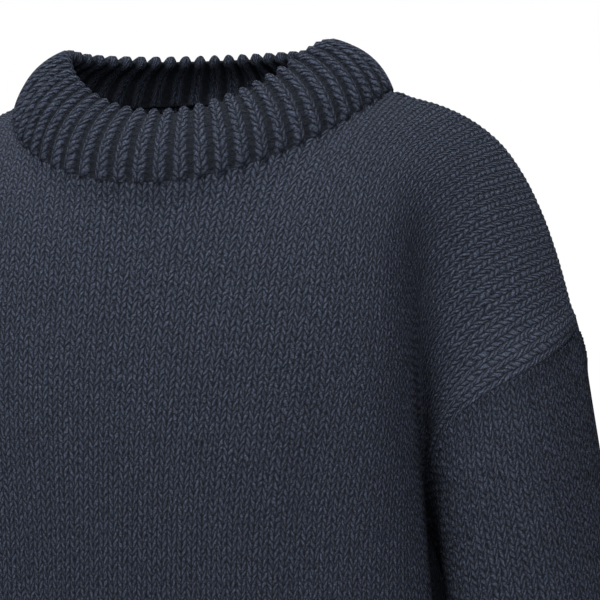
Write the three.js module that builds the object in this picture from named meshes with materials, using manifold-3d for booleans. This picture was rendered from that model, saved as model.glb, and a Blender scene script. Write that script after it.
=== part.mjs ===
// A wool sweater in its worn, hollow form: front and back panels with dropped shoulders, two sleeves,
// a standing ribbed collar, a ribbed hem under each panel and a ribbed cuff on each sleeve.
// Millimetres. +Z is up, the front faces -Y, and the wearer's left is +X.
// The origin is midway between the two neck points, where the shoulder seams meet the collar.
import * as THREE from "three";
import Module from "manifold-3d";

const { lerp, clamp, smoothstep, degToRad } = THREE.MathUtils;

// Cloth
const WALL = 4; // thickness of the chunky knit
const SEAM_INSET = 0.2; // how far each piece stops short of a seam
const ARMHOLE_INSET = 2.6; // how far the sleeve's top stops short of the armhole, where the seam turns in
const CUT_GAP = 0.3; // clear gap left where one piece is cut to its neighbour
const UNDERARM_GAP = 13; // room left round each of the seam's points near the underarm
const UNDERARM_POINTS = 3;
const NECK_U = 96; // flat distance from the centre line to the neck point
const SIDE_U = 270; // flat distance from the centre line to the side seam

// Levels
const HEM_BOTTOM_Z = -652;
const HEM_TOP_Z = -588;
const UNDERARM_Z = -232;
const FOLD_TOP_Z = -62; // where the fold between body and arm begins
const CUFF_TOP_Z = -548;
const CUFF_BOTTOM_Z = -612;

// Half sections of the body, measured from the plane of the side seams.
const BODY = [
  { z: -652, halfWidth: 160, front: 110, back: 102 },
  { z: -588, halfWidth: 168, front: 117, back: 108 },
  { z: -540, halfWidth: 171, front: 119, back: 110 },
  { z: -440, halfWidth: 165, front: 118, back: 109 },
  { z: -340, halfWidth: 158, front: 118, back: 108 },
  { z: -260, halfWidth: 155, front: 120, back: 108 },
  { z: -200, halfWidth: 158, front: 119, back: 107 },
  { z: -150, halfWidth: 162, front: 113, back: 102 },
  { z: -100, halfWidth: 163, front: 99, back: 93 },
  { z: -62, halfWidth: 160, front: 86, back: 82 },
];
const BODY_SQUARENESS = 2.7; // exponent of the body's rounded sections
const FOLD_TOP_U = 168; // flat distance of the fold's top from the centre line
const FOLD_TOP_DEPTH = 50; // how far the fold's top lies in front of the side seams' plane, and behind it
const FOLD_ROUNDING = 14; // how softly the body turns into the fold

// Sections of the arm inside the sleeve's outer face.
const ARM = [
  { z: -612, x: 224, y: -34, halfWidth: 35, halfDepth: 41 },
  { z: -548, x: 219, y: -26, halfWidth: 38, halfDepth: 46 },
  { z: -510, x: 216, y: -20, halfWidth: 46, halfDepth: 55 },
  { z: -400, x: 205, y: -7, halfWidth: 48, halfDepth: 60 },
  { z: -275, x: 188, y: 0, halfWidth: 46, halfDepth: 66 },
  { z: -203, x: 178, y: 0, halfWidth: 43, halfDepth: 67 },
  { z: -133, x: 170, y: 0, halfWidth: 41, halfDepth: 65 },
  { z: -62, x: 160, y: 0, halfWidth: 42, halfDepth: 58 },
];
const ARM_CLEARANCE = 9; // between the body's side and the sleeve
const ARMHOLE_EASE = 30; // length over which the sleeve leaves the armhole's own shape

// The shoulder seam, from the neck point out over the shoulder to the armhole.
const SHOULDER_SEAM = [
  { x: 105, y: 6, z: 0 },
  { x: 143, y: 14, z: -13 },
  { x: 167, y: 18, z: -32 },
  { x: 185, y: 18, z: -62 },
  { x: 198, y: 14, z: -95 },
  { x: 209, y: 8, z: -133 },
];

// The neckline, and the collar's rim above it, at the front and back centre and at the sides.
const NECK = {
  front: { depth: 88, z: -57, rimDepth: 68, rimZ: -17 },
  back: { depth: 80, z: 6, rimDepth: 64, rimZ: 30 },
};
const RIM_HALF_WIDTH = 76;
const RIM_SIDE_Z = 27;
const COLLAR_BULGE = 5.5; // how far the collar's middle stands out from a straight slope

// Soft folds hanging in the cloth, each a trough running down from its top to its foot.
const FOLDS = [
  { side: "front", u: -62, lean: 0.06, width: 26, top: -200, foot: -600, depth: 5 },
  { side: "front", u: 42, lean: -0.04, width: 20, top: -230, foot: -560, depth: 4 },
  { side: "front", u: 108, lean: 0.05, width: 17, top: -120, foot: -330, depth: 2.5 },
  { side: "front", u: -150, lean: -0.06, width: 22, top: -300, foot: -600, depth: 5 },
  { side: "front", u: 150, lean: 0.08, width: 22, top: -330, foot: -600, depth: 5 },
  { side: "back", u: -84, lean: 0.05, width: 26, top: -170, foot: -600, depth: 6 },
  { side: "back", u: 20, lean: -0.03, width: 22, top: -260, foot: -580, depth: 4 },
  { side: "back", u: 112, lean: -0.06, width: 24, top: -150, foot: -590, depth: 6 },
];

// Grid
const NECK_COLUMNS = 6;
const SIDE_COLUMNS = 9;
const SIDE_ROWS = 10; // from the hem rib up to the underarm
const ARM_ROWS = 11; // from the underarm to the top edge
const RIB_ROWS = 3;
const SLEEVE_ROWS = 10;
const COLLAR_ROWS = 5;
const EASING_PASSES = 8;

// The smooth value of a column of a table at a height.
function at(table, name, z) {
  const last = table.length - 2;
  const up = table[0].z < table[1].z;
  let i = 0;
  while (i < last && (up ? table[i + 1].z < z : table[i + 1].z > z)) i++;
  const slope = (j) => {
    const a = table[Math.max(j - 1, 0)];
    const b = table[Math.min(j + 1, table.length - 1)];
    return (b[name] - a[name]) / (b.z - a.z);
  };
  const span = table[i + 1].z - table[i].z;
  const t = clamp((z - table[i].z) / span, 0, 1);
  const rise = 3 * t ** 2 - 2 * t ** 3;
  const bend = span * (slope(i) * (t ** 3 - 2 * t ** 2 + t) + slope(i + 1) * (t ** 3 - t ** 2));
  return lerp(table[i][name], table[i + 1][name], rise) + bend;
}

// Distances along a line of points, from its start.
function lengths(points) {
  const out = [0];
  for (let i = 1; i < points.length; i++) out.push(out[i - 1] + points[i].distanceTo(points[i - 1]));
  return out;
}

function pointAt(points, along, distance) {
  let k = 0;
  while (k < along.length - 2 && along[k + 1] < distance) k++;
  const t = clamp((distance - along[k]) / Math.max(along[k + 1] - along[k], 1e-9), 0, 1);
  return points[k].clone().lerp(points[k + 1], t);
}

function smoothMin(a, b, k) {
  const h = clamp(0.5 + (0.5 * (b - a)) / k, 0, 1);
  return lerp(b, a, h) - k * h * (1 - h);
}

// How far down the fold between body and arm a height is: 0 at its top, 1 at the underarm and below.
const foldShare = (z) => clamp((FOLD_TOP_Z - z) / (FOLD_TOP_Z - UNDERARM_Z), 0, 1);

// A point of the body at a flat distance u from the centre line, up to the side seam or the fold's floor.
function bodyPoint(u, z, side) {
  const sign = side === "front" ? -1 : 1;
  const width = at(BODY, "halfWidth", z);
  const depth = at(BODY, side, z);
  const floor = FOLD_TOP_DEPTH * (1 - foldShare(z)) ** 1.4;
  const power = 2 / BODY_SQUARENESS;
  const stop = Math.acos((floor / depth) ** (1 / power));
  const ring = [];
  for (let i = 0; i <= 60; i++) {
    const angle = (stop * i) / 60;
    const y = sign * depth * Math.cos(angle) ** power;
    const across = (y - at(ARM, "y", z)) / at(ARM, "halfDepth", z);
    const armSide = at(ARM, "x", z) - at(ARM, "halfWidth", z) * Math.sqrt(Math.max(0, 1 - across ** 2));
    const x = smoothMin(width * Math.sin(angle) ** power, armSide - ARM_CLEARANCE, FOLD_ROUNDING);
    ring.push(new THREE.Vector3(i ? x : 0, y, z));
  }
  const along = lengths(ring);
  const reach = lerp(FOLD_TOP_U, SIDE_U, foldShare(z));
  return pointAt(ring, along, (along[60] * u) / reach);
}

const seamCurve = new THREE.CatmullRomCurve3(SHOULDER_SEAM.map((p) => new THREE.Vector3(p.x, p.y, p.z)));
const seamLine = seamCurve.getSpacedPoints(80);
const seamAlong = lengths(seamLine);

// A point of a panel's top edge: the neckline up to the neck point, then the shoulder seam.
function topPoint(u, side) {
  const share = (u - NECK_U) / (SIDE_U - NECK_U);
  if (share >= 0) return pointAt(seamLine, seamAlong, share * seamAlong[80]);
  const sign = side === "front" ? -1 : 1;
  const turn = Math.sqrt(1 - (u / NECK_U) ** 2);
  const start = SHOULDER_SEAM[0];
  const y = lerp(start.y, sign * NECK[side].depth, turn);
  return new THREE.Vector3((start.x * u) / NECK_U, y, NECK[side].z * turn ** 1.3);
}

// One wale, the line of stitches at a flat distance u from the centre line, from the hem rib to the top edge.
function wale(u, side) {
  const sign = side === "front" ? -1 : 1;
  const out = clamp((u - FOLD_TOP_U) / (SIDE_U - FOLD_TOP_U), 0, 1);
  const start = out > 0 ? lerp(FOLD_TOP_Z, UNDERARM_Z, out) : lerp(-108, FOLD_TOP_Z, smoothstep(u, 60, FOLD_TOP_U));
  const points = [];
  for (let i = 0; i <= 50; i++) points.push(bodyPoint(u, lerp(HEM_TOP_Z, start, i / 50), side));
  const foot = points[50];
  const head = topPoint(u, side);
  const rise = new THREE.Vector3();
  const fall = new THREE.Vector3();
  if (out > 0) {
    rise.set(0.18 * out, sign * out ** 0.7, lerp(1, 0.8, out)).normalize().multiplyScalar(lerp(32, 104, out));
    fall.set(0, sign, lerp(-0.1, -0.42, out)).multiplyScalar(lerp(44, 94, out));
  } else {
    const span = foot.distanceTo(head);
    const neck = clamp(u / NECK_U, 0, 1) ** 3;
    rise.copy(foot).sub(bodyPoint(u, start - 12, side)).setLength(span * 0.36);
    fall.set(0, lerp(0.5, 1, neck) * sign, lerp(-0.85, -0.05, neck)).multiplyScalar(span * 0.4);
  }
  const arc = new THREE.CubicBezierCurve3(foot, foot.clone().add(rise), head.clone().add(fall), head);
  for (let i = 1; i <= 40; i++) points.push(arc.getPoint(i / 40));
  const along = lengths(points);
  const underarm = HEM_TOP_Z - UNDERARM_Z;
  const rows = [];
  for (let j = 0; j < SIDE_ROWS; j++) rows.push((-underarm * j) / SIDE_ROWS);
  for (let j = 0; j <= ARM_ROWS; j++) rows.push(lerp(-underarm, along[along.length - 1], j / ARM_ROWS));
  return rows.map((distance) => pointAt(points, along, distance));
}

const columns = [];
for (let i = 0; i < NECK_COLUMNS; i++) columns.push(NECK_U * Math.sin(degToRad(90) * (i / NECK_COLUMNS) ** 0.92));
for (let i = 0; i <= SIDE_COLUMNS; i++) columns.push(lerp(NECK_U, SIDE_U, (i / SIDE_COLUMNS) ** 1.2));

// Half a panel as wales of points, its unevenness eased out.
function halfPanel(side) {
  const grid = columns.map((u) => wale(u, side));
  const rows = grid[0].length;
  for (let pass = 0; pass < EASING_PASSES; pass++) {
    const old = grid.map((line) => line.map((p) => p.clone()));
    for (let i = 0; i < columns.length - 1; i++)
      for (let j = 1; j < rows - 1; j++) {
        const right = columns[i + 1] - columns[i];
        const left = i ? columns[i] - columns[i - 1] : right;
        const before = i ? old[i - 1][j] : old[1][j].clone().setX(-old[1][j].x);
        const across = before.clone().lerp(old[i + 1][j], left / (left + right));
        const mean = across.add(old[i][j - 1].clone().lerp(old[i][j + 1], 0.5)).multiplyScalar(0.5);
        grid[i][j].lerp(mean, 0.5 * smoothstep(j, SIDE_ROWS - 3, SIDE_ROWS + 2));
      }
  }
  return grid;
}

// How deep the soft folds press in at a place of a panel; u is negative on the wearer's right.
function foldDepth(side, u, z) {
  let depth = 0;
  for (const fold of FOLDS) {
    if (fold.side !== side) continue;
    const middle = fold.u + fold.lean * (z - fold.top);
    const along = clamp((z - fold.foot) / (fold.top - fold.foot), 0, 1);
    const swell = smoothstep(along, 0, 0.25) * (1 - smoothstep(along, 0.55, 1));
    depth += fold.depth * swell * Math.exp(-(((u - middle) / fold.width) ** 2));
  }
  return depth;
}

// A whole panel, from the wearer's right side seam to the left one.
function panel(side) {
  const left = halfPanel(side);
  const mirror = left.slice(1).reverse().map((line) => line.map((p) => p.clone().setX(-p.x)));
  const flat = [...columns.slice(1).reverse().map((u) => -u), ...columns];
  const sign = side === "front" ? 1 : -1;
  return [...mirror, ...left].map((line, i) =>
    line.map((p) => p.setY(p.y + sign * foldDepth(side, flat[i], p.z))),
  );
}

const panels = { front: panel("front"), back: panel("back") };
const rowCount = panels.front[0].length;

// The hem rib under a panel.
function hem(side) {
  return panels[side].map((line) => {
    const top = line[0];
    const rows = [];
    for (let k = 0; k <= RIB_ROWS; k++) {
      const z = lerp(HEM_BOTTOM_Z, HEM_TOP_Z, k / RIB_ROWS);
      const shareX = at(BODY, "halfWidth", z) / at(BODY, "halfWidth", HEM_TOP_Z);
      const shareY = at(BODY, side, z) / at(BODY, side, HEM_TOP_Z);
      rows.push(new THREE.Vector3(top.x * shareX, top.y * shareY, z));
    }
    return rows;
  });
}

// The armhole on the wearer's left, from the underarm up the front and down the back.
const lastColumn = panels.front.length - 1;
const armhole = [];
for (let j = SIDE_ROWS; j < rowCount; j++) armhole.push(panels.front[lastColumn][j]);
for (let j = rowCount - 2; j > SIDE_ROWS; j--) armhole.push(panels.back[lastColumn][j]);

const armPoint = (angle, z) =>
  new THREE.Vector3(
    at(ARM, "x", z) + at(ARM, "halfWidth", z) * Math.cos(angle),
    at(ARM, "y", z) + at(ARM, "halfDepth", z) * Math.sin(angle),
    z,
  );

// A sleeve's wales, from the cuff up to the armhole; the cuff's own go on below.
function armWales(from, to, rows, mirrored) {
  const wales = armhole.map((edge) => {
    const across = (edge.y - at(ARM, "y", edge.z)) / at(ARM, "halfDepth", edge.z);
    const angle = Math.atan2(across, (edge.x - at(ARM, "x", edge.z)) / at(ARM, "halfWidth", edge.z));
    const away = edge.clone().sub(armPoint(angle, edge.z));
    const line = [];
    for (let k = 0; k <= rows; k++) {
      const z = lerp(from, to === null ? edge.z : to, k / rows);
      const ease = Math.exp(-(((edge.z - z) / ARMHOLE_EASE) ** 2));
      const p = armPoint(angle, z).addScaledVector(away, ease);
      line.push(mirrored ? p.setX(-p.x) : p);
    }
    return line;
  });
  return mirrored ? wales : wales.reverse();
}

// The neckline once round, from the front centre by the wearer's left and the back.
const neckline = [];
const middle = (panels.front.length - 1) / 2;
const top = rowCount - 1;
for (let i = 0; i < NECK_COLUMNS; i++) neckline.push(panels.front[middle + i][top]);
for (let i = NECK_COLUMNS; i > 0; i--) neckline.push(panels.back[middle + i][top]);
for (let i = 0; i < NECK_COLUMNS; i++) neckline.push(panels.back[middle - i][top]);
for (let i = NECK_COLUMNS; i > 0; i--) neckline.push(panels.front[middle - i][top]);

function collar() {
  return neckline.map((base) => {
    const side = base.y < SHOULDER_SEAM[0].y ? NECK.front : NECK.back;
    const sign = side === NECK.front ? -1 : 1;
    const across = base.x / SHOULDER_SEAM[0].x;
    const forward = Math.sqrt(Math.max(0, 1 - across ** 2));
    const rim = new THREE.Vector3(
      RIM_HALF_WIDTH * across,
      sign * side.rimDepth * forward,
      lerp(RIM_SIDE_Z, side.rimZ, forward ** 1.4),
    );
    const slope = rim.clone().sub(base);
    const round = new THREE.Vector3(-base.y, base.x, 0);
    const out = round.cross(slope).normalize();
    const bulge = base.clone().lerp(rim, 0.5).addScaledVector(out, 2 * COLLAR_BULGE);
    const arc = new THREE.QuadraticBezierCurve3(base, bulge, rim);
    const line = [];
    for (let k = 0; k <= COLLAR_ROWS; k++) line.push(arc.getPoint(k / COLLAR_ROWS));
    return line;
  });
}

const pieces = [
  { name: "front", grid: panels.front },
  { name: "back", grid: [...panels.back].reverse(), cutBy: ["front"] },
  { name: "hem_front", grid: hem("front") },
  { name: "hem_back", grid: hem("back").reverse() },
  { name: "sleeve_left", grid: armWales(CUFF_TOP_Z, null, SLEEVE_ROWS, false), closed: true, cutBy: ["front", "back"] },
  { name: "sleeve_right", grid: armWales(CUFF_TOP_Z, null, SLEEVE_ROWS, true), closed: true, cutBy: ["front", "back"] },
  { name: "cuff_left", grid: armWales(CUFF_BOTTOM_Z, CUFF_TOP_Z, RIB_ROWS, false), closed: true },
  { name: "cuff_right", grid: armWales(CUFF_BOTTOM_Z, CUFF_TOP_Z, RIB_ROWS, true), closed: true },
  { name: "collar", grid: collar(), closed: true },
];

const wasm = await Module();
wasm.setup();
const { Manifold, Mesh } = wasm;

// Outward directions, shared by the pieces that meet at a seam.
const key = (p) => [p.x, p.y, p.z].map((c) => Math.round(c * 100)).join();
const outward = new Map();
const owners = new Map();
for (const { name, grid, closed } of pieces) {
  const count = closed ? grid.length : grid.length - 1;
  for (let i = 0; i < count; i++)
    for (let j = 0; j < grid[0].length - 1; j++) {
      const corners = [grid[i][j], grid[(i + 1) % grid.length][j], grid[(i + 1) % grid.length][j + 1], grid[i][j + 1]];
      const normal = corners[2].clone().sub(corners[0]).cross(corners[3].clone().sub(corners[1])).normalize();
      for (const p of corners) {
        if (!outward.has(key(p))) outward.set(key(p), new THREE.Vector3());
        outward.get(key(p)).add(normal);
        if (!owners.has(key(p))) owners.set(key(p), new Set());
        owners.get(key(p)).add(name);
      }
    }
}

// At the underarm the cloth turns over from the body to the arm, so its outside looks down.
for (const line of [panels.front[0], panels.front[lastColumn]]) outward.get(key(line[SIDE_ROWS])).set(0, 0, -1);

// The closed wall of a piece, thickened inwards and drawn back a little from its seams; or, with an
// extra thickness on both faces, the room it needs.
function wallOf({ grid, closed, cutBy }, extra = 0) {
  const wales = grid.length;
  const rows = grid[0].length;
  const isSeam = (p) => owners.get(key(p)).size > 1;
  // A step from a seam into the piece, square to the seam, which runs from one point to the other.
  function inset(p, neighbour, from, to, isSleeveTop) {
    const seam = to.clone().sub(from).normalize();
    const step = neighbour.clone().sub(p);
    return step.addScaledVector(seam, -step.dot(seam)).setLength(isSleeveTop ? ARMHOLE_INSET : SEAM_INSET);
  }
  const outer = [];
  const inner = [];
  grid.forEach((line, i) =>
    line.forEach((p, j) => {
      const shift = new THREE.Vector3();
      if (isSeam(p)) {
        const before = closed ? grid[(i + wales - 1) % wales] : grid[Math.max(i - 1, 0)];
        const after = closed ? grid[(i + 1) % wales] : grid[Math.min(i + 1, wales - 1)];
        const below = line[Math.max(j - 1, 0)];
        const above = line[Math.min(j + 1, rows - 1)];
        if (j === 0) shift.add(inset(p, above, before[j], after[j]));
        if (j === rows - 1) shift.add(inset(p, below, before[j], after[j], cutBy?.length > 1));
        if (!closed && i === 0) shift.add(inset(p, after[j], below, above));
        if (!closed && i === wales - 1) shift.add(inset(p, before[j], below, above));
      }
      const out = outward.get(key(p)).clone().normalize();
      const place = p.clone().addScaledVector(shift, extra ? -1 : 1);
      outer.push(place.clone().addScaledVector(out, extra));
      inner.push(place.clone().addScaledVector(out, -WALL - extra));
    }),
  );
  const id = (i, j, layer) => layer * outer.length + (i % wales) * rows + j;
  const faces = [];
  const quad = (a, b, c, d) => faces.push(a, b, c, a, c, d);
  // An edge face between two neighbouring points, split the same way on both sides of a seam.
  function rim(i, j, nextI, nextJ, layer) {
    const other = 1 - layer;
    const corners = [id(i, j, layer), id(nextI, nextJ, layer), id(nextI, nextJ, other), id(i, j, other)];
    const isFirst = key(grid[i][j]) < key(grid[nextI % wales][nextJ]);
    if (isFirst !== (layer === 0)) corners.push(corners.shift());
    quad(...corners);
  }
  const spans = closed ? wales : wales - 1;
  for (let i = 0; i < spans; i++) {
    for (let j = 0; j < rows - 1; j++) {
      quad(id(i, j, 0), id(i + 1, j, 0), id(i + 1, j + 1, 0), id(i, j + 1, 0));
      quad(id(i, j, 1), id(i, j + 1, 1), id(i + 1, j + 1, 1), id(i + 1, j, 1));
    }
    rim(i, 0, i + 1, 0, 1);
    rim(i, rows - 1, i + 1, rows - 1, 0);
  }
  if (!closed)
    for (let j = 0; j < rows - 1; j++) {
      rim(0, j, 0, j + 1, 0);
      rim(spans, j, spans, j + 1, 1);
    }
  const positions = [...outer, ...inner].flatMap((p) => p.toArray());
  return new Manifold(
    new Mesh({ numProp: 3, vertProperties: new Float32Array(positions), triVerts: new Uint32Array(faces) }),
  );
}

// The largest body left of a piece once the room its neighbours need is cut from it.
function cutTo(piece, neighbours) {
  let solid = wallOf(piece);
  for (const name of neighbours) {
    const room = wallOf(pieces.find((other) => other.name === name), CUT_GAP);
    solid = solid.subtract(room);
  }
  if (piece.closed)
    for (const side of ["front", "back"])
      for (const line of [panels[side][0], panels[side][lastColumn]])
        for (const p of line.slice(SIDE_ROWS, SIDE_ROWS + UNDERARM_POINTS))
          solid = solid.subtract(Manifold.cube(UNDERARM_GAP, true).translate(p.toArray()));
  return solid.decompose().sort((a, b) => b.volume() - a.volume())[0];
}

function geometryOf(solid) {
  const mesh = solid.getMesh();
  const geometry = new THREE.BufferGeometry();
  geometry.setAttribute("position", new THREE.BufferAttribute(mesh.vertProperties.slice(), 3));
  geometry.setIndex(Array.from(mesh.triVerts));
  return geometry;
}

const sweater = new THREE.Group();
for (const piece of pieces) {
  const wool = new THREE.MeshStandardMaterial({ color: 0x2d323d, roughness: 0.95, metalness: 0 });
  const mesh = new THREE.Mesh(geometryOf(cutTo(piece, piece.cutBy ?? [])), wool);
  mesh.name = piece.name;
  sweater.add(mesh);
}

export default sweater;
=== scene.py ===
"""A chunky wool sweater: plain knitting, ribbed collar, hem and cuffs. Metres, +Z up, front -Y."""
import math

import bpy
import numpy as np
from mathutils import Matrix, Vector


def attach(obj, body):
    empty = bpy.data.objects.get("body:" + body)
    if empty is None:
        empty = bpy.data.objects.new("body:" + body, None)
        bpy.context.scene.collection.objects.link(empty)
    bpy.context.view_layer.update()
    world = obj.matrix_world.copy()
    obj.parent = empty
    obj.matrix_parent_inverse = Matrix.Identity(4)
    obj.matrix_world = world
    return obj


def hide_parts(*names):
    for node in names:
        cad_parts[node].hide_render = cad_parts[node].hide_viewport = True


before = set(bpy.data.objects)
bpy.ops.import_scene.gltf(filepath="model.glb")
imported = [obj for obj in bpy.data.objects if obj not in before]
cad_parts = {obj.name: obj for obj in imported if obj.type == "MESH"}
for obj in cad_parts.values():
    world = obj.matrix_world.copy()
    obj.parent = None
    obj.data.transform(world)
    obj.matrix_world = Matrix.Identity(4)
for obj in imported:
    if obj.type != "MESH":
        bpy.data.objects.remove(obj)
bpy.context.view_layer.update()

# ---- the garment's form, in millimetres, the same as its solids ----
WALL = 4.0
NECK_U = 96.0
SIDE_U = 270.0
HEM_BOTTOM_Z = -652.0
HEM_TOP_Z = -588.0
UNDERARM_Z = -232.0
FOLD_TOP_Z = -62.0
CUFF_TOP_Z = -548.0
CUFF_BOTTOM_Z = -612.0

BODY = {
    "z": [-652, -588, -540, -440, -340, -260, -200, -150, -100, -62],
    "halfWidth": [160, 168, 171, 165, 158, 155, 158, 162, 163, 160],
    "front": [110, 117, 119, 118, 118, 120, 119, 113, 99, 86],
    "back": [102, 108, 110, 109, 108, 108, 107, 102, 93, 82],
}
BODY_SQUARENESS = 2.7
FOLD_TOP_U = 168.0
FOLD_TOP_DEPTH = 50.0
FOLD_ROUNDING = 14.0
ARM = {
    "z": [-612, -548, -510, -400, -275, -203, -133, -62],
    "x": [224, 219, 216, 205, 188, 178, 170, 160],
    "y": [-34, -26, -20, -7, 0, 0, 0, 0],
    "halfWidth": [35, 38, 46, 48, 46, 43, 41, 42],
    "halfDepth": [41, 46, 55, 60, 66, 67, 65, 58],
}
ARM_CLEARANCE = 9.0
ARMHOLE_EASE = 30.0
# The shoulder line from the neck point to the armhole: x, y, z
SHOULDER_SEAM = [
    (105, 6, 0), (143, 14, -13), (167, 18, -32),
    (185, 18, -62), (198, 14, -95), (209, 8, -133),
]
NECK = {
    "front": {"depth": 88, "z": -57, "rimDepth": 68, "rimZ": -17},
    "back": {"depth": 80, "z": 6, "rimDepth": 64, "rimZ": 30},
}
RIM_HALF_WIDTH = 76.0
RIM_SIDE_Z = 27.0
COLLAR_BULGE = 5.5
RIM_ROUNDING = 0.12
# Soft folds: side, flat place u, lean, width, top, foot, depth
FOLDS = [
    ("front", -62, 0.06, 26, -200, -600, 5),
    ("front", 42, -0.04, 20, -230, -560, 4),
    ("front", 108, 0.05, 17, -120, -330, 2.5),
    ("front", -150, -0.06, 22, -300, -600, 5),
    ("front", 150, 0.08, 22, -330, -600, 5),
    ("back", -84, 0.05, 26, -170, -600, 6),
    ("back", 20, -0.03, 22, -260, -580, 4),
    ("back", 112, -0.06, 24, -150, -590, 6),
]
NECK_COLUMNS = 6
SIDE_COLUMNS = 9
SIDE_ROWS = 10
ARM_ROWS = 11
SLEEVE_ROWS = 10
EASING_PASSES = 8

# ---- knit ----
STITCH_W = 6.2
STITCH_H = 4.3
COLLAR_RIBS = 54
HEM_RIBS = 48
CUFF_RIBS = 24
COLLAR_RIB_DEPTH = 3.4
COLLAR_THICK = 5.0
RIB_DEPTH = 2.2
LEG_HEIGHT = 0.75
GROOVE_HEIGHT = 0.20
RELIEF_MIDDLE = 0.55
RIDGE_HEIGHT = 1.3  # the row of picked-up stitches round the armhole
RIDGE_FROM_EDGE = 7
RIDGE_WIDTH = 4.5
SLEEVE_TOP_DIP = 1.0
SLEEVE_DIP_REACH = 14.0
NECK_CORNER_REACH = 14
EDGE_TURNS = (0.8, 1.57, 2.34)  # angles of the rounded edge of a rib, from the outer face to the inner


def lerp(a, b, t):
    return a + (b - a) * t


def clamp(x, lo=0.0, hi=1.0):
    return min(max(x, lo), hi)


def smoothstep(x, lo, hi):
    t = np.clip((x - lo) / (hi - lo), 0, 1)
    return t * t * (3 - 2 * t)


def at(table, name, z):
    """The smooth value of a column of a table at a height."""
    zs, vs = table["z"], table[name]
    last = len(zs) - 2
    i = 0
    while i < last and zs[i + 1] < z:
        i += 1

    def slope(j):
        a, b = max(j - 1, 0), min(j + 1, len(zs) - 1)
        return (vs[b] - vs[a]) / (zs[b] - zs[a])

    span = zs[i + 1] - zs[i]
    t = clamp((z - zs[i]) / span)
    rise = 3 * t**2 - 2 * t**3
    bend = span * (slope(i) * (t**3 - 2 * t**2 + t) + slope(i + 1) * (t**3 - t**2))
    return lerp(vs[i], vs[i + 1], rise) + bend


def lengths(points):
    steps = np.linalg.norm(np.diff(points, axis=0), axis=1)
    return np.concatenate([[0.0], np.cumsum(steps)])


def points_at(points, along, distances):
    return np.stack([np.interp(distances, along, points[:, k]) for k in range(3)], axis=-1)


def smooth_min(a, b, k):
    h = np.clip(0.5 + 0.5 * (b - a) / k, 0, 1)
    return b + (a - b) * h - k * h * (1 - h)


def fold_share(z):
    return clamp((FOLD_TOP_Z - z) / (FOLD_TOP_Z - UNDERARM_Z))


def body_point(u, z, side):
    sign = -1 if side == "front" else 1
    width, depth = at(BODY, "halfWidth", z), at(BODY, side, z)
    floor = FOLD_TOP_DEPTH * (1 - fold_share(z)) ** 1.4
    power = 2 / BODY_SQUARENESS
    stop = math.acos((floor / depth) ** (1 / power))
    angle = np.linspace(0, stop, 61)
    y = sign * depth * np.cos(angle).clip(0) ** power
    across = (y - at(ARM, "y", z)) / at(ARM, "halfDepth", z)
    arm_side = at(ARM, "x", z) - at(ARM, "halfWidth", z) * np.sqrt((1 - across**2).clip(0))
    x = smooth_min(width * np.sin(angle) ** power, arm_side - ARM_CLEARANCE, FOLD_ROUNDING)
    x[0] = 0
    ring = np.stack([x, y, np.full(61, z)], axis=-1)
    along = lengths(ring)
    reach = lerp(FOLD_TOP_U, SIDE_U, fold_share(z))
    return points_at(ring, along, [along[-1] * u / reach])[0]


def curve_through(points, count):
    """A smooth line through points, the centripetal spline, at evenly spaced places."""
    p = [np.array(q, float) for q in points]
    p = [2 * p[0] - p[1]] + p + [2 * p[-1] - p[-2]]
    out = []
    for i in range(1, len(p) - 2):
        d = [max(np.linalg.norm(p[i + k] - p[i + k - 1]) ** 0.5, 1e-4) for k in range(3)]
        before, here, after = p[i] - p[i - 1], p[i + 1] - p[i], p[i + 2] - p[i + 1]
        m1 = (before / d[0] - (p[i + 1] - p[i - 1]) / (d[0] + d[1]) + here / d[1]) * d[1]
        m2 = (here / d[1] - (p[i + 2] - p[i]) / (d[1] + d[2]) + after / d[2]) * d[1]
        for t in np.linspace(0, 1, 40, endpoint=False):
            a, b = 2 * t**3 - 3 * t**2 + 1, t**3 - 2 * t**2 + t
            c, e = -2 * t**3 + 3 * t**2, t**3 - t**2
            out.append(a * p[i] + b * m1 + c * p[i + 1] + e * m2)
    out.append(p[-2])
    out = np.array(out)
    along = lengths(out)
    return points_at(out, along, np.linspace(0, along[-1], count + 1))


seam_line = curve_through(SHOULDER_SEAM, 80)
seam_along = lengths(seam_line)


def top_point(u, side):
    share = (u - NECK_U) / (SIDE_U - NECK_U)
    if share >= 0:
        return points_at(seam_line, seam_along, [share * seam_along[-1]])[0]
    sign = -1 if side == "front" else 1
    turn = math.sqrt(1 - (u / NECK_U) ** 2)
    x0, y0, _ = SHOULDER_SEAM[0]
    y = lerp(y0, sign * NECK[side]["depth"], turn)
    return np.array([x0 * u / NECK_U, y, NECK[side]["z"] * turn**1.3])


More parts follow.
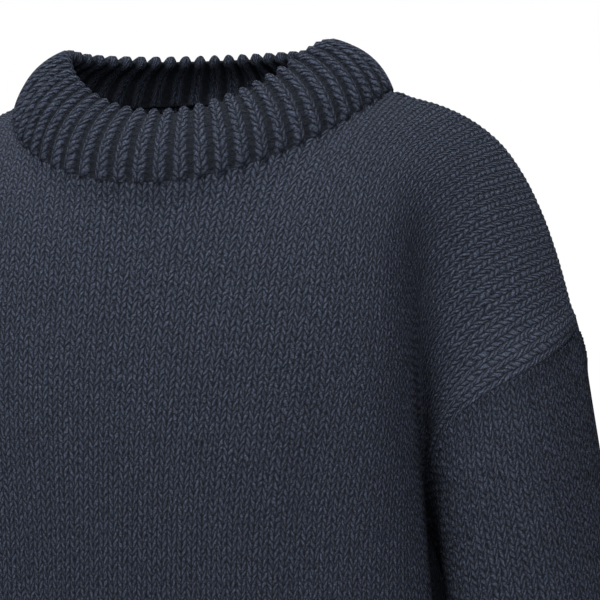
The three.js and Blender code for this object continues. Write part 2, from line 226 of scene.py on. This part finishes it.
def wale(u, side):
    sign = -1 if side == "front" else 1
    out = clamp((u - FOLD_TOP_U) / (SIDE_U - FOLD_TOP_U))
    if out > 0:
        start = lerp(FOLD_TOP_Z, UNDERARM_Z, out)
    else:
        start = lerp(-108, FOLD_TOP_Z, smoothstep(u, 60, FOLD_TOP_U))
    points = [body_point(u, lerp(HEM_TOP_Z, start, i / 50), side) for i in range(51)]
    foot, head = points[-1], top_point(u, side)
    if out > 0:
        rise = np.array([0.18 * out, sign * out**0.7, lerp(1, 0.8, out)])
        rise = rise / np.linalg.norm(rise) * lerp(32, 104, out)
        fall = np.array([0, sign, lerp(-0.1, -0.42, out)]) * lerp(44, 94, out)
    else:
        span = np.linalg.norm(head - foot)
        neck = clamp(u / NECK_U) ** 3
        rise = foot - body_point(u, start - 12, side)
        rise = rise / np.linalg.norm(rise) * span * 0.36
        fall = np.array([0, lerp(0.5, 1, neck) * sign, lerp(-0.85, -0.05, neck)]) * span * 0.4
    for i in range(1, 41):
        t = i / 40
        a, b, c, d = (1 - t) ** 3, 3 * (1 - t) ** 2 * t, 3 * (1 - t) * t**2, t**3
        points.append(a * foot + b * (foot + rise) + c * (head + fall) + d * head)
    points = np.array(points)
    along = lengths(points)
    underarm = UNDERARM_Z - HEM_TOP_Z
    rows = [underarm * j / SIDE_ROWS for j in range(SIDE_ROWS)]
    rows += [lerp(underarm, along[-1], j / ARM_ROWS) for j in range(ARM_ROWS + 1)]
    return points_at(points, along, rows)


columns = [NECK_U * math.sin(math.pi / 2 * (i / NECK_COLUMNS) ** 0.92) for i in range(NECK_COLUMNS)]
columns += [lerp(NECK_U, SIDE_U, (i / SIDE_COLUMNS) ** 1.2) for i in range(SIDE_COLUMNS + 1)]


def fold_depth(side, u, z):
    depth = 0.0
    for name, at_u, lean, width, top, foot, deep in FOLDS:
        if name != side:
            continue
        middle = at_u + lean * (z - top)
        along = clamp((z - foot) / (top - foot))
        swell = smoothstep(along, 0, 0.25) * (1 - smoothstep(along, 0.55, 1))
        depth += deep * swell * math.exp(-(((u - middle) / width) ** 2))
    return depth


def half_panel(side):
    grid = np.array([wale(u, side) for u in columns])
    rows = grid.shape[1]
    for _ in range(EASING_PASSES):
        old = grid.copy()
        for i in range(len(columns) - 1):
            right = columns[i + 1] - columns[i]
            left = columns[i] - columns[i - 1] if i else right
            for j in range(1, rows - 1):
                before = old[i - 1][j] if i else old[1][j] * (-1, 1, 1)
                across = lerp(before, old[i + 1][j], left / (left + right))
                mean = (across + (old[i][j - 1] + old[i][j + 1]) / 2) / 2
                grid[i][j] = lerp(grid[i][j], mean, 0.5 * smoothstep(j, SIDE_ROWS - 3, SIDE_ROWS + 2))
    return grid


flat_u = np.array([-u for u in reversed(columns[1:])] + list(columns))


def panel(side):
    left = half_panel(side)
    grid = np.concatenate([left[:0:-1] * (-1, 1, 1), left])
    sign = 1 if side == "front" else -1
    for i, u in enumerate(flat_u):
        for j in range(grid.shape[1]):
            grid[i, j, 1] += sign * fold_depth(side, u, grid[i, j, 2])
    return grid


panels = {side: panel(side) for side in ("front", "back")}
row_count = panels["front"].shape[1]


def resample(values, knots, places, closed=False):
    """Values along the first axis, taken smoothly from their knots to other places."""
    values, knots = np.asarray(values, float), np.asarray(knots, float)
    if closed:
        total = knots[-1]
        values = np.concatenate([values[-3:-1], values, values[1:3]])
        knots = np.concatenate([knots[-3:-1] - total, knots, knots[1:3] + total])
    h = np.maximum(np.diff(knots), 1e-9)
    shape = (-1,) + (1,) * (values.ndim - 1)
    d = np.diff(values, axis=0) / h.reshape(shape)
    inner = h[1:].reshape(shape) * d[:-1] + h[:-1].reshape(shape) * d[1:]
    inner = inner / (h[1:] + h[:-1]).reshape(shape)
    m = np.concatenate([d[:1], inner, d[-1:]])
    k = np.clip(np.searchsorted(knots, places, side="right") - 1, 0, len(h) - 1)
    t = ((places - knots[k]) / h[k]).reshape(shape)
    hk = h[k].reshape(shape)
    return (
        (2 * t**3 - 3 * t**2 + 1) * values[k]
        + (t**3 - 2 * t**2 + t) * hk * m[k]
        + (3 * t**2 - 2 * t**3) * values[k + 1]
        + (t**3 - t**2) * hk * m[k + 1]
    )


def normals_of(points, closed):
    """Outward directions on a grid whose first axis runs to the wearer's left at the front."""
    if closed:
        a = np.roll(points, -1, axis=0) - np.roll(points, 1, axis=0)
    else:
        a = np.gradient(points, axis=0)
    n = np.cross(a, np.gradient(points, axis=1))
    return n / np.maximum(np.linalg.norm(n, axis=-1, keepdims=True), 1e-9)


def wale_relief(u):
    """Height across plain knitting: two legs to a wale, a groove between them and a deeper one outside."""
    a = np.abs((u / STITCH_W) % 1.0 - 0.5) * 2
    return LEG_HEIGHT * np.sin(math.pi * np.clip(a, 0, 1)) ** 0.7 + GROOVE_HEIGHT * (1 - a)


def make_mesh(name, points, uv, closed_a=False, closed_b=False):
    """A mesh on a grid of points in millimetres, with its knit coordinates as a UV map."""
    na, nb = points.shape[:2]
    index = np.arange(na * nb).reshape(na, nb)
    ia = np.arange(na if closed_a else na - 1)
    ib = np.arange(nb if closed_b else nb - 1)
    ia2, ib2 = (ia + 1) % na, (ib + 1) % nb
    corners = [(ia, ib), (ia2, ib), (ia2, ib2), (ia, ib2)]
    quads = np.stack([index[np.ix_(a, b)] for a, b in corners], axis=-1).reshape(-1, 4)
    mesh = bpy.data.meshes.new(name)
    mesh.from_pydata((points.reshape(-1, 3) / 1000).tolist(), [], quads.tolist())
    step_a = np.stack([ia, ia + 1, ia + 1, ia], axis=-1)
    step_b = np.stack([ib, ib, ib + 1, ib + 1], axis=-1)
    corner_u = uv[0][step_a][:, None, :] + np.zeros((1, len(ib), 1))
    grid_v = uv[1]
    wrap_a = step_a % na
    corner_v = grid_v[wrap_a[:, None, :], step_b[None, :, :] % (nb if closed_b else nb)]
    layer = mesh.uv_layers.new(name="knit")
    flat = np.stack([np.broadcast_to(corner_u, corner_v.shape), corner_v], axis=-1).reshape(-1)
    layer.data.foreach_set("uv", flat.astype(np.float32))
    mesh.update()
    for polygon in mesh.polygons:
        polygon.use_smooth = True
    obj = bpy.data.objects.new(name, mesh)
    bpy.context.scene.collection.objects.link(obj)
    return obj


def knit_panel(side, per_stitch, row_step):
    """A panel: a single thickness of knitting with the relief of its wales."""
    count = int(round(2 * SIDE_U / STITCH_W)) * per_stitch
    dense_u = np.linspace(-SIDE_U, SIDE_U, count + 1)
    coarse = panels[side]
    along = np.array([lengths(line) for line in coarse])
    points = resample(coarse, flat_u, dense_u)
    # the close wales at the neck's corner are joined straight, so the top edge doesn't swing there
    straight = np.stack([points_at(coarse[:, j], flat_u, dense_u) for j in range(row_count)], 1)
    near_neck = np.exp(-(((np.abs(dense_u) - NECK_U) / NECK_CORNER_REACH) ** 2))[:, None]
    near_top = np.clip((np.arange(row_count) - row_count + 6) / 5, 0, 1)[None, :]
    points = lerp(points, straight, (near_neck * near_top)[..., None])
    along = resample(along, flat_u, dense_u)
    rows = int(round(along.max() / row_step))
    out = np.zeros((len(dense_u), rows + 1, 3))
    v = np.zeros((len(dense_u), rows + 1))
    lower = int(round(rows * (UNDERARM_Z - HEM_TOP_Z) / along.max()))
    for i in range(len(dense_u)):
        mid, end = UNDERARM_Z - HEM_TOP_Z, along[i, -1]
        low_rows = np.linspace(0, mid, lower, endpoint=False)
        places = np.concatenate([low_rows, np.linspace(mid, end, rows + 1 - lower)])
        out[i] = resample(points[i], along[i], places)
        v[i] = places
    if side == "back":
        out, v, dense_u = out[::-1], v[::-1], dense_u[::-1]
    relief = wale_relief(dense_u)[:, None, None] - RELIEF_MIDDLE
    fade = np.minimum(1, np.minimum(SIDE_U - np.abs(dense_u), 6) / 6)[:, None, None]
    from_armhole = SIDE_U - np.abs(dense_u)[:, None, None]
    above = smoothstep(out[..., 2:3], UNDERARM_Z + 5, UNDERARM_Z + 35)
    ridge = RIDGE_HEIGHT * np.exp(-(((from_armhole - RIDGE_FROM_EDGE) / RIDGE_WIDTH) ** 2)) * above
    out = out + normals_of(out, False) * (relief * fade + ridge)
    return make_mesh("knit_" + side, out, (dense_u / STITCH_W, v / STITCH_H))


last = panels["front"].shape[0] - 1
edge_front = [panels["front"][last][j] for j in range(SIDE_ROWS, row_count)]
edge_back = [panels["back"][last][j] for j in range(row_count - 2, SIDE_ROWS, -1)]
armhole = edge_front + edge_back


def arm_point(angle, z):
    return np.array([
        at(ARM, "x", z) + at(ARM, "halfWidth", z) * math.cos(angle),
        at(ARM, "y", z) + at(ARM, "halfDepth", z) * math.sin(angle),
        z,
    ])


def arm_grid(low, high, rows):
    """The arm's wales from a low level to a high one, or to the armhole where that is None."""
    grid = []
    for edge in armhole:
        across = (edge[1] - at(ARM, "y", edge[2])) / at(ARM, "halfDepth", edge[2])
        angle = math.atan2(across, (edge[0] - at(ARM, "x", edge[2])) / at(ARM, "halfWidth", edge[2]))
        away = edge - arm_point(angle, edge[2])
        line = []
        for k in range(rows + 1):
            z = lerp(low, edge[2] if high is None else high, k / rows)
            line.append(arm_point(angle, z) + away * math.exp(-(((edge[2] - z) / ARMHOLE_EASE) ** 2)))
        grid.append(line)
    return np.array(grid)[::-1]


def round_knots(grid, row):
    ring = np.concatenate([grid[:, row], grid[:1, row]])
    return lengths(ring)


def knit_sleeve(side):
    coarse = arm_grid(CUFF_TOP_Z, None, SLEEVE_ROWS)
    knots = round_knots(coarse, SLEEVE_ROWS // 2)
    stitches = int(round(knots[-1] / STITCH_W))
    places = np.linspace(0, knots[-1], stitches * 4, endpoint=False)
    points = resample(np.concatenate([coarse, coarse[:1]]), knots, places, closed=True)
    rows = 126
    levels = np.linspace(0, SLEEVE_ROWS, rows + 1)
    out = np.array([resample(line, np.arange(SLEEVE_ROWS + 1.0), levels) for line in points])
    along = np.array([lengths(line) for line in out])
    v = along - along[:, -1:]
    stitch_u = np.arange(stitches * 4 + 1) / 4
    relief = (wale_relief(stitch_u[:-1] * STITCH_W) - RELIEF_MIDDLE)[:, None, None]
    if side == "right":
        out, v = out[::-1] * (-1, 1, 1), v[::-1]
    below_seam = np.clip(1 + v / SLEEVE_DIP_REACH, 0, 1)[..., None]
    out = out + normals_of(out, True) * (relief - SLEEVE_TOP_DIP * below_seam**2)
    return make_mesh("knit_sleeve_" + side, out, (stitch_u, v / STITCH_H), closed_a=True)


def rib_relief(phase, depth):
    """Height across a one-by-one rib: a round knit rib with a narrow, deep purl gap."""
    a = np.abs(phase % 1.0 - 0.5) * 2
    return depth * (np.clip(1 - (a / 0.78) ** 2.2, 0, 1) - 0.5)


def rib_band(name, outer, per_rib, depth, closed, thick=WALL):
    """A closed band of ribbing: its outer face, its top edge, its inner face and its foot."""
    na, nb = outer.shape[:2]
    n = normals_of(outer, closed)
    inner = outer - n * thick
    top_mid = (outer[:, -1] + inner[:, -1]) / 2
    up = outer[:, -1] - outer[:, -2]
    up = up / np.linalg.norm(up, axis=-1, keepdims=True)
    down = outer[:, 0] - outer[:, 1]
    down = down / np.linalg.norm(down, axis=-1, keepdims=True)
    low_mid = (outer[:, 0] + inner[:, 0]) / 2
    r = thick / 2
    top = [top_mid + n[:, -1] * r * math.cos(a) + up * r * math.sin(a) for a in EDGE_TURNS]
    low = [low_mid - n[:, 0] * r * math.cos(a) + down * r * 0.4 * math.sin(a) for a in EDGE_TURNS]
    loop = np.concatenate([outer, np.stack(top, 1), inner[:, ::-1], np.stack(low, 1)], axis=1)
    top_turn = np.stack([n[:, -1] * math.cos(a) + up * math.sin(a) for a in EDGE_TURNS], 1)
    low_turn = np.stack([-n[:, 0] * math.cos(a) + down * 0.2 for a in EDGE_TURNS], 1)
    turn = np.concatenate([n, top_turn, -n[:, ::-1], low_turn], axis=1)
    phase = np.arange(na) / per_rib
    outer_part = np.zeros(loop.shape[1])
    outer_part[: nb + 3] = 1
    outer_part[nb + 3 : 2 * nb + 3] = 0.8
    loop = loop + turn * rib_relief(phase, depth)[:, None, None] * outer_part[None, :, None]
    along = np.array([lengths(line) for line in loop])
    v = np.concatenate([along, along[:, -1:] + 2], axis=1)
    stitch_u = np.arange(na + 1) / per_rib
    return make_mesh(name, loop, (stitch_u, v / STITCH_H), closed_a=closed, closed_b=True)


neck_middle = (panels["front"].shape[0] - 1) // 2
F, B, T = panels["front"], panels["back"], row_count - 1
neckline = [F[neck_middle + i][T] for i in range(NECK_COLUMNS)]
neckline += [B[neck_middle + i][T] for i in range(NECK_COLUMNS, 0, -1)]
neckline += [B[neck_middle - i][T] for i in range(NECK_COLUMNS)]
neckline += [F[neck_middle - i][T] for i in range(NECK_COLUMNS, 0, -1)]
neckline = np.array(neckline)


def collar_band():
    per_rib, rows = 10, 14
    knots = lengths(np.concatenate([neckline, neckline[:1]]))
    rims = []
    for base in neckline:
        side, sign = (NECK["front"], -1) if base[1] < SHOULDER_SEAM[0][1] else (NECK["back"], 1)
        across = base[0] / SHOULDER_SEAM[0][0]
        forward = math.sqrt(max(0, 1 - across**2))
        rounded = math.hypot(forward, RIM_ROUNDING) - RIM_ROUNDING
        rounded = rounded / (math.hypot(1, RIM_ROUNDING) - RIM_ROUNDING)
        rims.append([RIM_HALF_WIDTH * across, sign * side["rimDepth"] * forward,
                     lerp(RIM_SIDE_Z, side["rimZ"], rounded**1.4)])
    rims = np.array(rims)
    places = np.linspace(0, knots[-1], COLLAR_RIBS * per_rib, endpoint=False)
    base = resample(np.concatenate([neckline, neckline[:1]]), knots, places, closed=True)
    rim = resample(np.concatenate([rims, rims[:1]]), knots, places, closed=True)
    slope = rim - base
    sideways = np.stack([-base[:, 1], base[:, 0], np.zeros(len(base))], axis=-1)
    out = np.cross(sideways, slope)
    out = out / np.linalg.norm(out, axis=-1, keepdims=True)
    bulge = (base + rim) / 2 + out * 2 * COLLAR_BULGE
    t = np.linspace(0, 1, rows + 1)[None, :, None]
    outer = (1 - t) ** 2 * base[:, None] + 2 * t * (1 - t) * bulge[:, None] + t**2 * rim[:, None]
    return rib_band("knit_collar", outer, per_rib, COLLAR_RIB_DEPTH, True, thick=COLLAR_THICK)


def hem_band(side):
    per_rib, rows = 6, 8
    line = resample(panels[side][:, 0], flat_u, np.linspace(-SIDE_U, SIDE_U, HEM_RIBS * per_rib + 1))
    outer = np.zeros((len(line), rows + 1, 3))
    for k in range(rows + 1):
        z = lerp(HEM_BOTTOM_Z, HEM_TOP_Z, k / rows)
        outer[:, k, 0] = line[:, 0] * at(BODY, "halfWidth", z) / at(BODY, "halfWidth", HEM_TOP_Z)
        outer[:, k, 1] = line[:, 1] * at(BODY, side, z) / at(BODY, side, HEM_TOP_Z)
        outer[:, k, 2] = z
    if side == "back":
        outer = outer[::-1]
    return rib_band("knit_hem_" + side, outer, per_rib, RIB_DEPTH, False)


def cuff_band(side):
    coarse = arm_grid(CUFF_BOTTOM_Z, CUFF_TOP_Z, 3)
    knots = round_knots(coarse, 1)
    per_rib, rows = 8, 8
    places = np.linspace(0, knots[-1], CUFF_RIBS * per_rib, endpoint=False)
    points = resample(np.concatenate([coarse, coarse[:1]]), knots, places, closed=True)
    outer = np.array([resample(p, np.arange(4.0), np.linspace(0, 3, rows + 1)) for p in points])
    if side == "right":
        outer = outer[::-1] * (-1, 1, 1)
    return rib_band("knit_cuff_" + side, outer, per_rib, RIB_DEPTH, True)


# ---- wool ----
def node(tree, kind, **settings):
    n = tree.nodes.new(kind)
    for key, value in settings.items():
        setattr(n, key, value)
    return n


class Shader:
    """Short words for the sums a material's nodes do."""

    def __init__(self, tree):
        self.tree = tree

    def put(self, socket, value):
        if isinstance(value, (int, float)):
            socket.default_value = value
        elif isinstance(value, tuple):
            socket.default_value = value
        else:
            self.tree.links.new(value, socket)

    def math(self, operation, a, b=0.0, c=None):
        n = node(self.tree, "ShaderNodeMath", operation=operation)
        self.put(n.inputs[0], a)
        self.put(n.inputs[1], b)
        if c is not None:
            self.put(n.inputs[2], c)
        return n.outputs[0]

    def noise(self, where, scale, detail=2.0, rough=0.5):
        n = node(self.tree, "ShaderNodeTexNoise")
        self.put(n.inputs["Vector"], where)
        n.inputs["Scale"].default_value = scale
        n.inputs["Detail"].default_value = detail
        n.inputs["Roughness"].default_value = rough
        return n.outputs["Fac"]

    def mix(self, share, a, b, blend="MIX"):
        n = node(self.tree, "ShaderNodeMix", data_type="RGBA", blend_type=blend)
        self.put(n.inputs["Factor"], share)
        for socket, value in ((n.inputs[6], a), (n.inputs[7], b)):
            self.put(socket, value)
        return n.outputs[2]

    def span(self, value, low, high, to_low=0.0, to_high=1.0):
        n = node(self.tree, "ShaderNodeMapRange", clamp=True)
        self.put(n.inputs["Value"], value)
        limits = {"From Min": low, "From Max": high, "To Min": to_low, "To Max": to_high}
        for key, number in limits.items():
            n.inputs[key].default_value = number
        return n.outputs["Result"]


# The deepest tone is used twice: for the yarn's scattered dark fibres, and as painted shade in the gaps
# between stitches
WOOL_DARK_FIBRE_AND_GAP_SHADE = (0.003, 0.004, 0.007, 1.0)
WOOL_MAIN = (0.034, 0.043, 0.074, 1.0)
WOOL_PALE = (0.130, 0.154, 0.232, 1.0)
WOOL_WARM = (0.082, 0.070, 0.086, 1.0)
LEG_RISE = 1.2  # courses that a leg climbs from the middle of its stitch to the side


def wool(name, knit_share, ribbed):
    """Heathered yarn knitted in V-shaped stitches, each as wide as its share of one unit across."""
    material = bpy.data.materials.new(name)
    material.use_nodes = True
    tree = material.node_tree
    s = Shader(tree)
    bsdf = tree.nodes["Principled BSDF"]
    uv = node(tree, "ShaderNodeUVMap", uv_map="knit")
    place = node(tree, "ShaderNodeTexCoord").outputs["Object"]
    parts = node(tree, "ShaderNodeSeparateXYZ")
    tree.links.new(uv.outputs["UV"], parts.inputs[0])
    wobble_u = s.span(s.noise(place, 190.0, 2.0, 0.7), 0.2, 0.8, -0.13, 0.13)
    wobble_v = s.span(s.noise(place, 150.0, 2.0, 0.7), 0.2, 0.8, -0.45, 0.45)
    u = s.math("ADD", parts.outputs[0], s.math("MULTIPLY", wobble_u, knit_share))
    v = s.math("ADD", parts.outputs[1], wobble_v)
    # each wale's courses sit a little higher or lower than the next one's
    column = s.math("SINE", s.math("MULTIPLY", s.math("FLOOR", parts.outputs[0]), 12.9898))
    column = s.math("FRACT", s.math("MULTIPLY", column, 437.585))
    v = s.math("ADD", v, s.math("MULTIPLY", column, 0.40))
    across = s.math("ABSOLUTE", s.math("SUBTRACT", s.math("FRACT", u), 0.5))
    side = s.math("DIVIDE", across, 0.5 * knit_share)
    inside = s.math("MINIMUM", side, 1.0)
    climb = s.math("SUBTRACT", v, s.math("MULTIPLY", inside, LEG_RISE))
    strand = s.math("ABSOLUTE", s.math("SINE", s.math("MULTIPLY", climb, math.pi)))
    strand = s.math("POWER", strand, 0.75)
    leg = s.math("POWER", s.math("SINE", s.math("MULTIPLY", inside, math.pi)), 0.6)
    leg = s.math("MAXIMUM", leg, 0.0)
    knit = s.math("MULTIPLY", strand, leg)
    if ribbed:
        gap = s.math("GREATER_THAN", side, 1.0)
        purl = s.math("ABSOLUTE", s.math("SINE", s.math("MULTIPLY", v, math.pi)))
        purl = s.math("MULTIPLY", purl, 0.22)
        knit = s.math("MULTIPLY", knit, s.math("SUBTRACT", 1.0, gap))
        knit = s.math("ADD", knit, s.math("MULTIPLY", purl, gap))
    # plies twist across each leg, and loose fibres lie all ways
    twist = s.math("ADD", s.math("MULTIPLY", climb, 2.0), s.math("MULTIPLY", inside, 3.0))
    twist = s.math("SINE", s.math("MULTIPLY", twist, 9.0))
    fibre = s.noise(place, 2600.0, 3.0, 0.7)
    fluff = s.noise(place, 900.0, 3.0, 0.65)
    height = s.math("ADD", knit, s.math("MULTIPLY", twist, 0.05))
    height = s.math("ADD", height, s.math("MULTIPLY", fluff, 1.0))
    height = s.math("ADD", height, s.math("MULTIPLY", fibre, 0.35))
    bump = node(tree, "ShaderNodeBump")
    bump.inputs["Strength"].default_value = 1.0
    bump.inputs["Distance"].default_value = 0.0022
    tree.links.new(height, bump.inputs["Height"])
    tree.links.new(bump.outputs["Normal"], bsdf.inputs["Normal"])
    color = s.mix(s.span(s.noise(place, 1100.0, 3.0, 0.75), 0.42, 0.66), WOOL_MAIN, WOOL_PALE)
    color = s.mix(s.span(s.noise(place, 300.0, 4.0, 0.7), 0.52, 0.72, 0.0, 0.5), color, WOOL_WARM)
    color = s.mix(s.span(s.noise(place, 800.0, 3.0, 0.7), 0.48, 0.66, 0.0, 0.75), color, WOOL_DARK_FIBRE_AND_GAP_SHADE)
    # painted shade: the colour goes to the deepest tone where the stitch relief is low, in the gaps
    # between legs, stitches and ribs
    color = s.mix(s.span(knit, 0.15, 0.80, 0.98, 0.0), color, WOOL_DARK_FIBRE_AND_GAP_SHADE)
    tree.links.new(color, bsdf.inputs["Base Color"])
    bsdf.inputs["Roughness"].default_value = 0.95
    bsdf.inputs["Specular IOR Level"].default_value = 0.15
    bsdf.inputs["Sheen Weight"].default_value = 0.12
    bsdf.inputs["Sheen Roughness"].default_value = 0.6
    bsdf.inputs["Sheen Tint"].default_value = (0.35, 0.42, 0.55, 1.0)
    return material


plain_wool = wool("wool_plain", 1.0, False)
rib_wool = wool("wool_rib", 0.70, True)

# Each piece, its material, the solid it stands for, its flat cut and the share of that rectangle it fills
pieces = [
    (knit_panel("front", 4, 3.4), plain_wool, "front", (0.54, 0.60), 0.93, ["collar", "hem_front"]),
    (knit_panel("back", 2, 6.0), plain_wool, "back", (0.54, 0.61), 0.95, ["collar", "hem_back"]),
    (knit_sleeve("left"), plain_wool, "sleeve_left", (0.37, 0.40), 0.93, ["front", "back"]),
    (knit_sleeve("right"), plain_wool, "sleeve_right", (0.37, 0.40), 0.93, ["front", "back"]),
    (collar_band(), rib_wool, "collar", (0.60, 0.045), 1.0, ["front", "back"]),
    (hem_band("front"), rib_wool, "hem_front", (0.50, 0.064), 1.0, ["front"]),
    (hem_band("back"), rib_wool, "hem_back", (0.50, 0.064), 1.0, ["back"]),
    (cuff_band("left"), rib_wool, "cuff_left", (0.25, 0.064), 1.0, ["sleeve_left"]),
    (cuff_band("right"), rib_wool, "cuff_right", (0.25, 0.064), 1.0, ["sleeve_right"]),
]
for obj, material, solid, cut, fill, meets in pieces:
    obj.data.materials.append(material)
    bpy.context.view_layer.objects.active = obj
    for other in bpy.context.selected_objects:
        other.select_set(False)
    obj.select_set(True)
    bpy.ops.object.mode_set(mode="EDIT")
    bpy.ops.mesh.select_all(action="SELECT")
    bpy.ops.mesh.remove_doubles(threshold=0.00002)
    bpy.ops.object.mode_set(mode="OBJECT")
    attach(obj, "root")
    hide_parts(solid)

# ---- stage, light and camera ----
FLOOR_Z = -0.9
bpy.ops.mesh.primitive_plane_add(size=12, location=(0, 0, FLOOR_Z))
floor = bpy.context.object
floor.name = "floor"
pale = bpy.data.materials.new("pale_floor")
pale.use_nodes = True
pale.node_tree.nodes["Principled BSDF"].inputs["Base Color"].default_value = (0.82, 0.82, 0.82, 1.0)
pale.node_tree.nodes["Principled BSDF"].inputs["Roughness"].default_value = 0.9
floor.data.materials.append(pale)


def softbox(name, place, size, power):
    """A broad studio light aimed at the chest."""
    data = bpy.data.lights.new(name, "AREA")
    data.size = size
    data.energy = power
    light = bpy.data.objects.new(name, data)
    light.location = place
    aim = Vector((0, 0, -0.15)) - Vector(place)
    light.rotation_euler = aim.to_track_quat("-Z", "Y").to_euler()
    bpy.context.scene.collection.objects.link(light)


softbox("key", (-0.45, -1.1, 1.25), 0.8, 22.0)
softbox("fill", (0.95, -1.9, 0.5), 1.2, 15.0)
softbox("top", (0.1, -0.15, 1.4), 0.9, 15.0)

world = bpy.data.worlds.new("studio")
bpy.context.scene.world = world
world.use_nodes = True
tree = world.node_tree
tree.nodes.clear()
path = tree.nodes.new("ShaderNodeLightPath")
soft = tree.nodes.new("ShaderNodeBackground")
soft.inputs["Color"].default_value = (0.93, 0.96, 1.0, 1.0)
soft.inputs["Strength"].default_value = 0.24
white = tree.nodes.new("ShaderNodeBackground")
white.inputs["Color"].default_value = (1.0, 1.0, 1.0, 1.0)
white.inputs["Strength"].default_value = 1.0
choose = tree.nodes.new("ShaderNodeMixShader")
output = tree.nodes.new("ShaderNodeOutputWorld")
tree.links.new(path.outputs["Is Camera Ray"], choose.inputs[0])
tree.links.new(soft.outputs[0], choose.inputs[1])
tree.links.new(white.outputs[0], choose.inputs[2])
tree.links.new(choose.outputs[0], output.inputs["Surface"])
bpy.context.scene.view_settings.view_transform = "Standard"

CAMERA_AZIMUTH = math.radians(17)
CAMERA_ELEVATION = math.radians(-5)
CAMERA_DISTANCE = 2.5
AIM_RIGHT = 0.0545
AIM_Z = -0.112
right = Vector((math.cos(CAMERA_AZIMUTH), math.sin(CAMERA_AZIMUTH), 0))
back = Vector((
    math.sin(CAMERA_AZIMUTH) * math.cos(CAMERA_ELEVATION),
    -math.cos(CAMERA_AZIMUTH) * math.cos(CAMERA_ELEVATION),
    math.sin(CAMERA_ELEVATION),
))
camera_data = bpy.data.cameras.new("camera")
camera_data.lens = 275.0
camera_data.clip_end = 50
camera = bpy.data.objects.new("camera", camera_data)
camera.location = right * AIM_RIGHT + Vector((0, 0, AIM_Z)) + back * CAMERA_DISTANCE
camera.rotation_euler = (-back).to_track_quat("-Z", "Y").to_euler()
bpy.context.scene.collection.objects.link(camera)
bpy.context.scene.camera = camera
